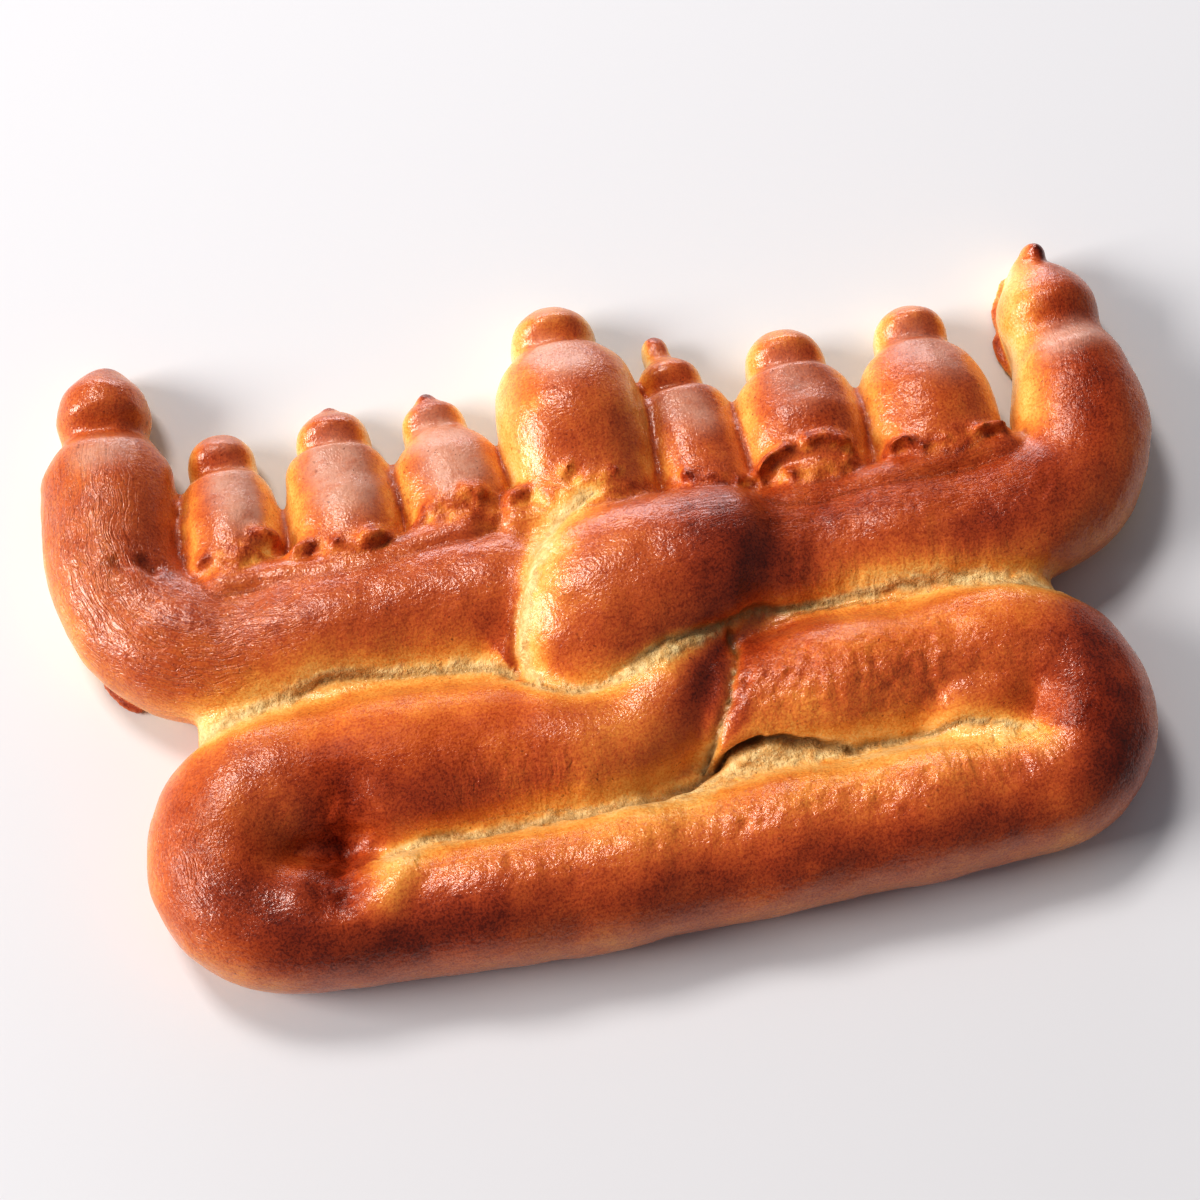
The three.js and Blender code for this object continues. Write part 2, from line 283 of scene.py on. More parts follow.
# %% [markdown]
# ## Small strips
# Low strips finish the form. Folds are the torn, half melted dough at the candles' feet, where each
# roll was pressed on its arm and pulled away again as it rose. Pinches are the little wick on one
# flame, the stub beside another and the twisted tips of two more. Frills are films of egg wash that
# ran down and baked crisp on the tray. Fans fill the stand's two turns, where the rope swells
# against itself. Seams are the stretched inside of the dough that shows pale between two ropes,
# because it opened in the oven after the egg wash was brushed on.


# %% Lay the strips
def lay_strip(kind, route, width, height):
    return lay_dough(kind, kind, route, evenly(width), evenly(height), [0.6 * width] * 2, 20, 1.5)


strips = [
    lay_strip("pinch", [[47, 101], [46.5, 110], [45.5, 122]], 12, 14),
    lay_strip("pinch", [[197, 123], [202, 122], [207, 117.5]], 9, 25),
    lay_strip("pinch", [[-52, 108.5], [-48, 110], [-43.5, 109]], 6, 17),
    lay_strip("pinch", [[-89.5, 113.5], [-86, 114.6], [-82.5, 113.5]], 4.5, 14.5),
    lay_strip("frill", [[188, 74], [184, 83], [182.5, 92], [185, 99]], 6, 2.5),
    lay_strip("frill", [[185, 98], [186, 107], [191, 116], [194, 122]], 6, 2.5),
    lay_strip("frill", [[-189, 27], [-183, 16], [-175, 9]], 7, 2.5),
    lay_strip("fan", [[104, -58], [130, -60], [158, -66]], 36, 41),
    lay_strip("fan", [[116, -72], [140, -74], [164, -77]], 34, 37),
    lay_strip("fan", [[-116, -73], [-104, -74], [-82, -76]], 30, 30),
    lay_strip("fan", [[-150, -66], [-136, -67], [-124, -69]], 52, 35),
    lay_strip("seam", [[-112, -69], [-60, -73], [0, -73]], 24, 28),
    lay_strip("seam", [[-8, -75], [34, -71], [80, -71], [154, -76]], 28, 27),
    lay_strip("seam", [[-158, -14], [-116, -9], [-62, -11], [-30, -16]], 24, 29),
    lay_strip("seam", [[40, -18], [75, -15], [113, -17], [174, -26]], 24, 29),
    lay_strip("seam", [[-38, -16], [-34, 8], [-24, 34]], 22, 35),
    lay_strip("seam", [[42, -20], [38, -44], [28, -62]], 16, 28),
]

# %% [markdown]
# The big folds are laid one by one, where each candle shows its own: an arched lip over a hollow on
# some of them, a fat lump on the second. Between them go small random ones. A strip laid from the
# tray up is enough, because only its rounded top stays outside the dough.


# %% Torn folds at the candles' feet
def lay_small_folds(start, end, level, count, seed):
    """Short folds in a ragged row, each at its own slant."""
    draw = random.Random(seed)
    folds = []
    for k in range(count):
        t = (k + draw.uniform(0.2, 0.8)) / count
        x = start[0] + (end[0] - start[0]) * t
        y = start[1] + (end[1] - start[1]) * t + draw.uniform(-2, 2.5)
        turn, half, bend = draw.uniform(-1.1, 1.1), draw.uniform(3, 6), draw.uniform(-2, 2)
        dx, dy = half * math.cos(turn), half * math.sin(turn)
        folds.append(lay_strip("fold", [[x - dx, y - dy], [x + bend, y - bend], [x + dx, y + dy]],
                               draw.uniform(4, 7), level + draw.uniform(-2.5, 1)))
    return folds


folds = [
    lay_strip("fold", [[-148, 49], [-143, 52], [-138, 55]], 7, 35),
    lay_strip("fold", [[-134, 56], [-128, 53], [-121, 49]], 7, 36),
    lay_strip("fold", [[-126, 59], [-119, 59], [-112, 55]], 8, 36),
    lay_strip("fold", [[-112, 47], [-105, 50], [-98, 48]], 8, 38),
    lay_strip("fold", [[-96, 46], [-92, 48], [-88, 47]], 6, 39),
    lay_strip("fold", [[-87, 45], [-78, 47], [-70, 48]], 10, 42),
    lay_strip("fold", [[-57, 51], [-53, 55], [-46, 59]], 8, 36),
    lay_strip("fold", [[-46, 59], [-38, 59], [-31, 55]], 9, 38),
    lay_strip("fold", [[-30, 50], [-22, 54], [-14, 56]], 12, 35),
    lay_strip("fold", [[-6, 57], [-2, 58], [3, 58]], 8, 43),
    lay_strip("fold", [[68, 42], [75, 48], [86, 51]], 7, 40),
    lay_strip("fold", [[86, 51], [99, 51], [110, 46]], 8, 41),
    lay_strip("fold", [[119, 42], [126, 44], [132, 42]], 6, 41),
    lay_strip("fold", [[152, 42], [161, 43], [169, 42]], 6, 42),
    *lay_small_folds([-148, 50], [-114, 51], 36, 4, 2),
    *lay_small_folds([-64, 51], [-32, 55], 36, 5, 5),
    *lay_small_folds([-10, 53], [22, 51], 41, 4, 7),
    *lay_small_folds([42, 45], [66, 44], 37, 4, 8),
    *lay_small_folds([78, 41], [108, 41], 37, 4, 9),
    *lay_small_folds([130, 41], [154, 40], 40, 5, 10),
]
dough = [stand, left_arm, right_arm, tucked, left_lip, right_lip, *candles, *strips, *folds]
print(len(dough), "pieces of dough on the tray")

# %% [markdown]
# ## Baking them together
# In the oven the pieces grow into each other, so the loaf is one skin with no edge inside it. A
# voxel remesh does that: it fills all the shapes with small cubes and skins the whole, which also
# rounds the grooves a little, as rising dough does. A Boolean union would keep every groove knife
# sharp and leave long thin triangles that can't be sculpted afterwards.

# %% Fuse the dough
VOXEL = 1.53  # a finer one would give the loaf more than 200,000 triangles


def fuse(pieces, voxel):
    tray = bmesh.new()
    for piece in pieces:
        sheet = bpy.data.meshes.new(piece["name"])
        piece["bm"].to_mesh(sheet)
        tray.from_mesh(sheet)
        bpy.data.meshes.remove(sheet)
    loose = bpy.data.meshes.new("dough")
    tray.to_mesh(loose)
    tray.free()
    raw = bpy.data.objects.new("dough", loose)
    bpy.context.scene.collection.objects.link(raw)
    oven = raw.modifiers.new("oven", "REMESH")
    oven.mode = "VOXEL"
    oven.voxel_size = voxel
    oven.adaptivity = 0
    baked = bpy.data.meshes.new_from_object(
        raw.evaluated_get(bpy.context.evaluated_depsgraph_get())
    )
    bpy.data.objects.remove(raw)
    return baked


skin = fuse(dough, VOXEL)
print("fused skin:", len(skin.vertices), "vertices")

# %% [markdown]
# The loaf stood on a tray, so everything below z = 0 goes. The cut and a few rounds of smoothing
# are one bmesh pass. The smoothing takes the stair steps of the voxels out of the skin.


# %% Cut the flat underside and smooth the skin
def soften(bm, verts, rounds):
    for _ in range(rounds):
        bmesh.ops.smooth_vert(bm, verts=verts, factor=0.5,
                              use_axis_x=True, use_axis_y=True, use_axis_z=True)


loaf_bm = bmesh.new()
loaf_bm.from_mesh(skin)
soften(loaf_bm, loaf_bm.verts[:], 3)
bmesh.ops.bisect_plane(loaf_bm, geom=loaf_bm.verts[:] + loaf_bm.edges[:] + loaf_bm.faces[:],
                       dist=0.01, plane_co=(0, 0, 0), plane_no=(0, 0, 1), clear_inner=True)
print("after the cut:", len(loaf_bm.verts), "vertices,", len(loaf_bm.faces), "faces")


# %% [markdown]
# ## Seams between the ropes
# Where two ropes press together, the dough stays pale, stretches and tears. Each seam is a line
# with numbers along it: the width of the pale crumb, and how far the golden edge reaches to either
# side. A KD tree over points a millimetre apart answers which seam is nearest to a vertex. Near
# the seams the skin gets more rounds of smoothing, which turns each groove into a soft valley, and
# a narrow crack is pressed back into its bottom.

# %% The seams' lines
# Each point has x, y, the crumb's half width, the crack's depth, the gold's reach to the left and
# to the right, and how far the crumb's middle lies to the left of the crack.
SEAMS = {
    "under the left arm": [
        (-164, -14, 3.4, 0.5, 10, 7, 0), (-146, -12, 3.8, 0.6, 11, 9, 0),
        (-125, -8, 3.4, 0.8, 11, 12, 0.5), (-101, -5, 2, 1.2, 10, 14, 1.5),
        (-81, -7, 2, 1.2, 9, 13, 1.5), (-60, -9, 2.4, 1.2, 8, 12, 1.5),
        (-46, -11, 3.2, 1, 6, 11, 1), (-37, -15, 2.4, 1.2, 5, 9, 0)],
    "collar": [
        (-29, -23, 2, 0.6, 4, 7, -1), (-35, -14, 3.0, 1.2, 1.5, 13, -3),
        (-34, -2, 3.4, 1.2, 1, 13, -3.6), (-29, 11, 3.4, 1, 1.5, 13, -3.6),
        (-21, 27, 3.6, 0.8, 4, 12, -3), (-10, 39, 3, 0.6, 8, 7, 0), (6, 46, 1.6, 0.3, 6, 5, 0)],
    "below the knot": [
        (-34, -20, 2, 0.6, 6, 8, 0), (-22, -27, 1.8, 0.7, 7, 10, 0),
        (-8, -29, 1.8, 0.8, 6, 11, -0.5), (6, -26, 3, 1, 3, 10, -2),
        (18, -21, 3.6, 1.4, 2, 8, -2.5), (32, -18, 2.6, 1.8, 2, 4, -1.5),
        (46, -16, 1, 2.2, 2, 3, 0)],
    "under the right arm": [
        (46, -15, 0.6, 2.4, 3, 5, 0), (72, -12, 1.6, 1.8, 7, 8, 0.5),
        (94, -12, 2.2, 1.2, 10, 10, 1), (115, -13, 2.8, 0.8, 10, 10, 1.5),
        (134, -15, 3.6, 0.7, 9, 8, 2), (157, -20, 3.8, 0.7, 8, 6, 1.5),
        (176, -26, 3, 0.5, 7, 5, 0)],
    "beside the hook": [
        (46, -18, 0.4, 2.4, 3, 4, 0), (44, -27, 0.5, 2, 3, 5, 0), (39, -42, 0.6, 1.8, 3, 6, 0),
        (32, -55, 1, 2, 3, 7, 0), (24, -65, 1.4, 2.6, 6, 6, 0)],
    "stand": [
        (-96, -75, 0.8, 0.3, 3, 12, 0), (-82, -72, 1.8, 1.2, 3, 18, 0),
        (-58, -73, 1.8, 1.8, 5, 19, 0), (-36, -73, 2, 1.6, 6, 19, 0),
        (-10, -74, 2.4, 1.6, 7, 18, 0), (10, -72, 3.4, 2.6, 7, 17, -1.5),
        (26, -67, 5, 4, 7, 16, -4.5), (44, -62.5, 6.2, 5, 8, 17, -6),
        (60, -65, 4.6, 4.2, 9, 20, -4), (76, -69, 2.4, 2.2, 9, 22, -1.5),
        (96, -70, 1.2, 1.7, 9, 25, 0), (118, -70, 1.0, 1.5, 9, 25, 0),
        (132, -73, 1.2, 0.9, 6, 20, 0), (145, -78, 1.2, 0.1, 4, 14, 0)],
}


def walk(points):
    """The line and its numbers, taken every millimetre."""
    p = np.array(points, float)
    line, length = smooth_route(p[:, :2])
    share = np.r_[0, np.cumsum(np.linalg.norm(np.diff(p[:, :2], axis=0), axis=1))] / length
    steps = np.linspace(0, share[-1], len(line))
    return np.c_[line, np.array([np.interp(steps, share, column) for column in p[:, 2:].T]).T]


def nearest_on(lines, points):
    """For each point: distance to the nearest line, its side, and the line's values there."""
    rows, ahead = [], []
    for line in lines:
        rows.append(line)
        ahead.append(np.gradient(line[:, :2], axis=0))
    rows, ahead = np.vstack(rows), np.vstack(ahead)
    kd = KDTree(len(rows))
    for i, row in enumerate(rows):
        kd.insert((row[0], row[1], 0), i)
    kd.balance()
    found = [kd.find((x, y, 0))[1:] for x, y in points[:, :2]]
    index, distance = np.array(found).T
    index = index.astype(int)
    off = points[:, :2] - rows[index, :2]
    side = np.sign(ahead[index, 0] * off[:, 1] - ahead[index, 1] * off[:, 0])
    return distance, side, rows[index]


seam_lines = [walk(points) for points in SEAMS.values()]
print("seams:", sum(len(line) for line in seam_lines), "mm in all")

# %% Turn the grooves into soft valleys
# The stand's two turns are pressed in where the rope bends, so they count as seams too.
TURN_MIDDLES = (-111, -72), (148, -73)
VALLEYS = (13, 6), (10, 7), (7, 8)  # mm from the seam, and rounds of smoothing there
fused = np.array([v.co for v in loaf_bm.verts])
to_seam = nearest_on(seam_lines, fused)[0]
for middle in TURN_MIDDLES:  # a turn's valley is twice as wide as a seam's
    to_seam = np.minimum(to_seam, np.linalg.norm(fused[:, :2] - middle, axis=1) * 0.5)
inside = fused[:, 2] > 6
for width, rounds in VALLEYS:
    chosen = np.flatnonzero((to_seam < width) & inside)
    loaf_bm.verts.ensure_lookup_table()
    soften(loaf_bm, [loaf_bm.verts[i] for i in chosen], rounds)
loaf_bm.normal_update()
place = np.array([v.co for v in loaf_bm.verts])
outward = np.array([v.normal for v in loaf_bm.verts])
print("vertices near a seam:", len(chosen))

# %% [markdown]
# ## Where a point lies on the loaf
# The crust differs from place to place: pale in the seams, golden beside them, red-brown on top.
# All of that follows from distances, so each vertex first learns how far it is from every piece of
# dough, and how far along and around its own rope it lies.

# %% Measure each vertex against the pieces
REACH = 14.0


def distance_to(piece, points):
    """Distance from each point to the piece's skin, up to REACH."""
    found = np.full(len(points), REACH)
    shell = np.array([v.co for v in piece["bm"].verts])
    low, high = shell.min(0) - REACH, shell.max(0) + REACH
    for i in np.flatnonzero(((points > low) & (points < high)).all(1)):
        hit = piece["tree"].find_nearest(Vector(points[i]), REACH)
        if hit[3] is not None:
            found[i] = hit[3]
    return found


kinds = np.array([piece["kind"] for piece in dough])
gap = np.array([distance_to(piece, place) for piece in dough])
owner = gap.argmin(0)


def nearest(*wanted):
    return gap[np.isin(kinds, wanted)].min(0)


seam_gap, seam_side, seam_row = nearest_on(seam_lines, place)
print("vertices on candles:", int((kinds[owner] == "candle").sum()))


# %% How far along and around its rope each vertex lies
AXIS_HEIGHT, MEAN_RADIUS = 16, 24  # mm, of an ordinary rope


def fibre_of(points, owners):
    """Along, around and sideways, in millimetres, on each point's own piece of dough."""
    fibre = np.zeros((len(points), 3))
    for k in np.unique(owners):
        piece, mine = dough[k], np.flatnonzero(owners == k)
        line = piece["line"]
        for chunk in np.array_split(mine, max(1, len(mine) // 4000)):
            offset = points[chunk, None, :2] - line[None]
            near = (offset**2).sum(2).argmin(1)
            side = offset[np.arange(len(chunk)), near]
            ahead = line[np.minimum(near + 1, len(line) - 1)] - line[np.maximum(near - 1, 0)]
            ahead /= np.linalg.norm(ahead, axis=1)[:, None]
            across = side[:, 0] * ahead[:, 1] - side[:, 1] * ahead[:, 0]
            angle = np.arctan2(across, points[chunk, 2] - AXIS_HEIGHT)
            fibre[chunk] = np.c_[near * piece["length"] / len(line), angle * MEAN_RADIUS,
                                 across]
    return fibre


smooth_owner = np.where(np.isin(kinds[owner], ["rope", "candle"]), owner,
                        np.where(np.isin(kinds, ["rope", "candle"])[:, None], gap, 99).argmin(0))
fibre = fibre_of(place, smooth_owner)
print("longest run along a rope:", round(fibre[:, 0].max()), "mm")

# %% [markdown]
# ## Sculpting the skin
# Dough that rises and sets leaves marks at every size. Slow noise makes it uneven. Noise that is
# stretched along the rope makes fine pleats where the rope was bent, and noise that is squeezed
# along the rope makes the short stretch marks beside a seam. Round pits are burst bubbles. Each
# kind has its own places, which are given as soft spots: a line, a radius and a strength. Sculpting
# by brush would look as good, but numbers can be set again and give the same loaf each time.


# %% Noise and soft spots
def rough(points, size, seed=0.0, stretch=(1, 1, 1)):
    """Noise from about -1 to 1, with lumps of the given size in millimetres."""
    scaled = points / (size * np.array(stretch)) + seed
    return np.array([noise.noise(p) for p in map(Vector, scaled)])


def pits(points, size, seed=0.0):
    """Distance to the nearest of a scatter of points, in cells."""
    scaled = points / size + seed
    return np.array([noise.voronoi(p)[0][0] for p in map(Vector, scaled)])


def ease(value, low, high):
    t = np.clip((value - low) / (high - low), 0, 1)
    return t * t * (3 - 2 * t)


def spot(points, start, end, radius):
    """1 on the line from start to end, easing to 0 at the radius."""
    a, b = np.array(start, float), np.array(end, float)
    run = b - a
    t = np.clip(((points[:, :2] - a) @ run) / max(run @ run, 1e-9), 0, 1)
    return 1 - ease(np.linalg.norm(points[:, :2] - a - t[:, None] * run, axis=1), 0, radius)


def spots(points, marks):
    """The strongest of several soft spots, each [start, end, radius, strength]."""
    return np.max([strength * spot(points, a, b, r) for a, b, r, strength in marks], axis=0)


# %% Where each kind of mark goes
PLEATS = [
    [[-186, 90], [-184, 40], 34, 1.0], [[-184, 40], [-150, 12], 34, 1.0],
    [[-146, 30], [-120, 20], 22, 0.7], [[195, 60], [200, 90], 26, 0.3],
    [[40, 30], [66, 26], 20, 0.5], [[-172, -50], [-160, -95], 26, 0.5],
    [[72, 26], [160, 24], 20, 0.6],
]
STRETCH_MARKS = [
    [[66, -2], [100, -8], 20, 1.0], [[-62, -56], [-20, -62], 18, 1.0],
    [[112, -84], [156, -86], 20, 1.2], [[-110, -84], [-70, -80], 14, 0.6],
    [[0, -82], [90, -84], 14, 0.5], [[104, -4], [150, -6], 12, 0.6],
]
BLISTERS = [
    [[46, -42], [110, -46], 26, 1.2], [[110, -44], [150, -50], 20, 0.7],
    [[30, -88], [96, -92], 18, 0.9], [[-90, 12], [-50, 10], 16, 0.3],
    [[-80, -92], [30, -92], 16, 0.6], [[96, -92], [140, -92], 14, 0.5],
    [[74, 18], [168, 12], 26, 0.4],
]
pleats = spots(place, PLEATS)
stretch_marks = spots(place, STRETCH_MARKS) * ease(place[:, 2], 8, 20)
blisters = spots(place, BLISTERS)
on_candle = kinds[smooth_owner] == "candle"
above = np.isin(kinds[owner], ["candle", "fold"])
at_foot = np.where(above, nearest("rope"), 4 * nearest("candle", "fold") + 3)
torn = (1 - ease(at_foot, 3, 10)) * ease(place[:, 2], 19, 27) * ease(place[:, 1], 26, 38)
torn = np.maximum(torn, (1 - ease(nearest("fold"), 0.3, 3)) * ease(place[:, 2], 22, 30))
wander = np.c_[rough(place, 8, 31.7), rough(place, 8, 57.1), np.zeros(len(place))]
crack_gap = nearest_on(seam_lines, place + 1.6 * wander)[0]
ragged_edge = 0.9 + 0.6 * rough(place, 6, 11.9) + 0.5 * rough(place, 3, 61.9)
crumb_width = seam_row[:, 2] * np.maximum(ragged_edge, 0.2)
high_up = ease(place[:, 2], 12, 20)
off_crumb = seam_side * seam_gap - seam_row[:, 6]
in_seam = (1 - ease(np.abs(off_crumb), 0.25 * crumb_width, 1.35 * crumb_width)) * high_up
crinkled = spot(place, (131, -80), (146, -83), 12) * ease(rough(place, 4.5, 71.3), -0.35, 0.3)
in_seam = np.maximum(in_seam, 0.22 * crinkled)
print("vertices on pale crumb:", int((in_seam > 0.5).sum()))

# %% Move the skin
CARVED = [  # pressed in around a line, with a radius and a depth
    [[-109, -56], [-113, -70], 20, 2.6], [[-112, -70], [-116, -88], 15, 3.4],
    [[70, 36], [69, 18], 13, 2.4], [[69, 18], [60, -12], 13, 2.8],
    [[28, -66], [46, -61.5], 2.8, 3.4], [[78, 45], [104, 46], 5, 1.4],
    [[-50, 52], [-40, 53], 5, 1.2], [[-1, 54], [2, 55], 4, 2.0], [[-174, 56], [-171, 53], 4, 2.0],
    [[-164, 55], [-161, 52], 4.5, 3.0],
]
RAISED = [[[-90, -83], [-99, -96], 11, 2.0], [[44, 12], [50, 20], 24, 1.2]]
# slow unevenness
move = 0.9 * rough(place, 30, 3.1) + 0.45 * rough(place, 12, 7.7) + 0.16 * rough(place, 5.5, 17.7)
# pleats and stretch marks
warped = fibre + 5 * np.c_[wander[:, 0], wander[:, 1], wander[:, 0]]
move += 0.4 * pleats * rough(warped, 4.2, 1.3, (6, 1, 1))
move += 0.4 * stretch_marks * rough(fibre + 2.5 * wander, 3.6, 5.1, (1, 5, 5))
# burst bubbles
scattered = ease(rough(place, 11, 40.3), -0.05, 0.25)
move -= 1.3 * blisters * scattered * ease(pits(place + 1.5 * wander, 7, 2.2), 0.45, 0.1)
move += blisters * (0.7 * rough(place, 4.6, 16.4) + 0.5 * rough(place, 2.8, 26.4))
# torn feet, open crumb and cracks
ridged = 1 - 2 * np.abs(rough(place + 2 * wander, 8, 9.4))
move += torn * (0.6 * ridged - 0.3 + 0.6 * rough(place, 5.5, 4.4) + 0.5 * rough(place, 3.2, 24.4))
move += in_seam * (0.7 * rough(warped, 3.2, 6.6, (3, 1, 1)) + 0.4 * rough(place, 2.2, 8.8))
crack = seam_row[:, 3] * np.exp(-((crack_gap / 1.4) ** 2)) * high_up
move -= crack + 0.8 * high_up * np.exp(-((seam_gap / 4) ** 2))
# dents and bulges, and the crumpled hollow in the left turn
move -= spots(place, CARVED)
crumpled = spot(place, (-107, -60), (-111, -86), 17)
move += crumpled * (1.5 * ridged - 0.6 + 0.6 * rough(place, 4, 61.2))
move += spots(place, RAISED)
place = place + outward * (move * (0.25 + 0.75 * ease(place[:, 2], 3, 10)))[:, None]
place[:, 2] = np.maximum(place[:, 2], 0)
for v, co in zip(loaf_bm.verts, place):
    v.co = co
loaf_bm.verts.ensure_lookup_table()
soften(loaf_bm, [loaf_bm.verts[i] for i in np.flatnonzero(torn > 0.1)], 1)
place = np.array([v.co for v in loaf_bm.verts])
print("moved by", round(float(move.min()), 1), "to", round(float(move.max()), 1), "mm")

# %% [markdown]
# ## Browning
# Egg-washed crust darkens where it is high and faces up. It stays pale in the seams, and amber on
# the candles' sides, which stood too close together for the oven's heat. So a number from 0, raw,
# to 1, nearly burnt, is worked out for each vertex and kept on the mesh as an attribute. A few dark
# patches in it are painted shade and a few golden ones painted highlight. The material turns it
# into colour later. A vertex attribute is used, not a painted picture, because it stays sharp on
# any screen and needs no unwrapping.

# %% Patches that differ from the rest
# Each is a line from one point to another, a radius and a strength. A few dark ones are painted
# shade and a few golden ones painted highlight, as marked.
DARK = [
    # Both here are partly darker crust, partly painted shade in the crumpled hollow of the left
    # turn.
    [[-107, -48], [-114, -64], 21, 0.22], [[-113, -64], [-116, -88], 19, 0.30],
    [[-150, -66], [-128, -68], 20, 0.12], [[-160, -46], [-166, -80], 20, 0.08],
    [[-150, -80], [-124, -108], 26, 0.25], [[-122, -110], [-60, -109], 20, 0.24],
    [[-80, -111], [130, -114], 20, 0.16], [[-96, -52], [-60, -56], 14, 0.10],
    # Both here are partly dark crust, partly painted shade: on the knot's right-facing slope and on
    # the hook's right side beside it.
    [[50, 20], [64, -8], 44, 0.24], [[40, -22], [33, -46], 17, 0.36],
    [[176, -54], [172, -96], 32, 0.30], [[140, -94], [170, -86], 16, 0.12],
    [[140, 0], [180, 18], 22, 0.16], [[84, 4], [130, 0], 12, 0.10],
    # The first here is painted shade on the front rope below the stand's opening.
    [[30, -78], [70, -76], 12, 0.12], [[70, 16], [190, 26], 30, 0.12],
    [[202, 40], [206, 92], 24, 0.18], [[-150, 30], [-160, 60], 18, 0.14],
    [[-167, 152], [-166, 150], 6, 0.4], [[-50, 111.5], [-45, 111.5], 4, 0.35],
    [[-88, 115.5], [-84, 115.5], 3.5, 0.3], [[46, 121], [45.5, 124], 6, 0.3],
    [[204, 121], [208, 117], 6, 0.40], [[184, 108], [179, 82], 5, 0.2],
    [[-163, 56], [-156, 48], 9, 0.2], [[-130, 106], [-130, 102], 11, 0.03],
    [[-86, 106], [-86, 102], 12, 0.05], [[-48, 107], [-48, 104], 10, 0.05],
    [[90, 85], [94, 70], 18, 0.12], [[143, 90], [150, 74], 20, 0.12],
]
GOLD = [
    # The second here is golden crust, partly a painted highlight on the blisters.
    [[60, -30], [160, -34], 14, 0.14], [[50, -50], [66, -50], 13, 0.12],
    # The first here is a painted highlight on the hook.
    [[-16, -54], [6, -50], 16, 0.14], [[126, -80], [146, -84], 14, 0.07],
    [[-90, -80], [-98, -95], 13, 0.28], [[-176, -44], [-184, -66], 14, 0.05],
    [[-196, 30], [-204, 70], 14, 0.10], [[-22, 50], [-6, 96], 14, 0.10],
    [[6, 136], [6, 128], 14, 0.14], [[95, 108], [95, 102], 12, 0.13],
    [[147, 110], [147, 104], 12, 0.14], [[46, 106], [48, 96], 10, 0.10],
    [[-122, -24], [-56, -26], 13, 0.10], [[183, 84], [190, 118], 18, 0.36],
    [[-26, 46], [-6, 52], 12, 0.16], [[179, 46], [181, 84], 15, 0.30],
]
# Bare patches: dough that the egg wash partly missed, dull and pinkish, with a painted pinkish
# sheen over it in place of a low back window's reflection on faces turned up.
BARE_AND_SHEEN = [  # partly bare dough, dull and pinkish; partly painted sheen
    [[-125, 83], [-122, 72], 19, 1.5], [[-88, 85], [-84, 72], 22, 1.5],
    [[-46, 90], [-42, 72], 20, 1.5], [[-2, 113], [6, 105], 17, 1.1], [[49, 82], [54, 74], 15, 0.9],
    [[90, 87], [94, 76], 18, 0.6], [[143, 89], [150, 78], 20, 0.7],
    [[-178, 104], [-168, 106], 13, 0.9], [[190, 74], [208, 77], 13, 1.1],
    [[6, 140], [6, 136], 12, 0.6], [[148, 114], [147, 110], 11, 0.5],
    [[-130, 114], [-128, 108], 12, 0.6],
]
DULL = [  # thin egg wash, so less gloss
    [[-108, -52], [-115, -88], 18, 0.8], [[-110, -32], [-40, -36], 25, 1.1],
    [[64, -34], [150, -36], 14, 0.6], [[-160, -46], [-172, -72], 20, 0.55],
    [[196, 36], [202, 84], 22, 0.45], [[74, 26], [168, 24], 22, 0.6],
    [[-30, -12], [-26, 14], 12, 0.5], [[-140, -68], [-130, -70], 18, 0.7],
    [[140, -68], [160, -74], 18, 0.7], [[91, 84], [95, 62], 18, 0.5],
    [[142, 84], [146, 60], 20, 0.5],
]
print("patches:", len(DARK), "dark,", len(GOLD), "golden,", len(BARE_AND_SHEEN), "bare,", len(DULL), "dull")

# %% Work out how brown each vertex is
facing_up = ease(outward[:, 2], 0.1, 0.9)
# top and sides, with slow and small blotches
bake = 0.36 + 0.20 * np.maximum(facing_up, 0.7 * torn)
bake = bake + 0.08 * rough(place, 38, 12.3) + 0.06 * rough(place, 9, 14.5)
bake += spots(place, DARK) - spots(place, GOLD)
# golden beside the seams
gold_reach = np.where(off_crumb > 0, seam_row[:, 4], seam_row[:, 5])
past = np.maximum(np.abs(off_crumb) - seam_row[:, 2], 0) / gold_reach
bake -= high_up * (0.13 * np.exp(-((past / 0.4) ** 2)) + 0.28 * np.exp(-(past**2)))
# the arms and candles brown less near the tray
loose_end = ease(place[:, 1], -8, 6)
low_side = (1 - ease(place[:, 2], 4, 20)) * (1 - 0.8 * facing_up)
bake -= loose_end * 0.28 * low_side
# amber sides of the candles, and on their tops the bare patches with their painted sheen
ragged = outward[:, 0] + 0.14 * rough(place, 7, 51.2)
wall = np.maximum(ease(-ragged, 0.25, 0.80), ease(ragged, 0.45, 0.90))
bake -= on_candle * 0.28 * wall * (1 - 0.8 * torn)
# painted sheen: the pinkish veil is kept to faces turned up, where a low back window would reflect
bare_and_sheen = spots(place, BARE_AND_SHEEN) * ease(rough(place, 5, 33.3) + 2.4 * outward[:, 2], 1.0, 1.5)
bare_and_sheen *= (1 - wall) * (1 - torn)
# torn folds are unevenly brown, and the films of egg wash are dark
bake += torn * (0.24 * rough(place, 5, 20.1) + 0.14 * ridged - 0.13)
bake += 0.12 * (kinds[owner] == "fold") + 0.3 * (kinds[owner] == "frill")
bake -= 0.2 * torn * spot(place, (79, 42), (104, 43), 9)
bake = np.clip(bake, 0, 1)
print("browning from", round(float(bake.min()), 2), "to", round(float(bake.max()), 2))

# %% [markdown]
# ## The finished mesh
# The vertices go back into the bmesh, and the open underside is closed with one flat fill. The
# mesh is turned into metres and moved so that its origin is the middle of the loaf's box, where the
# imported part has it.

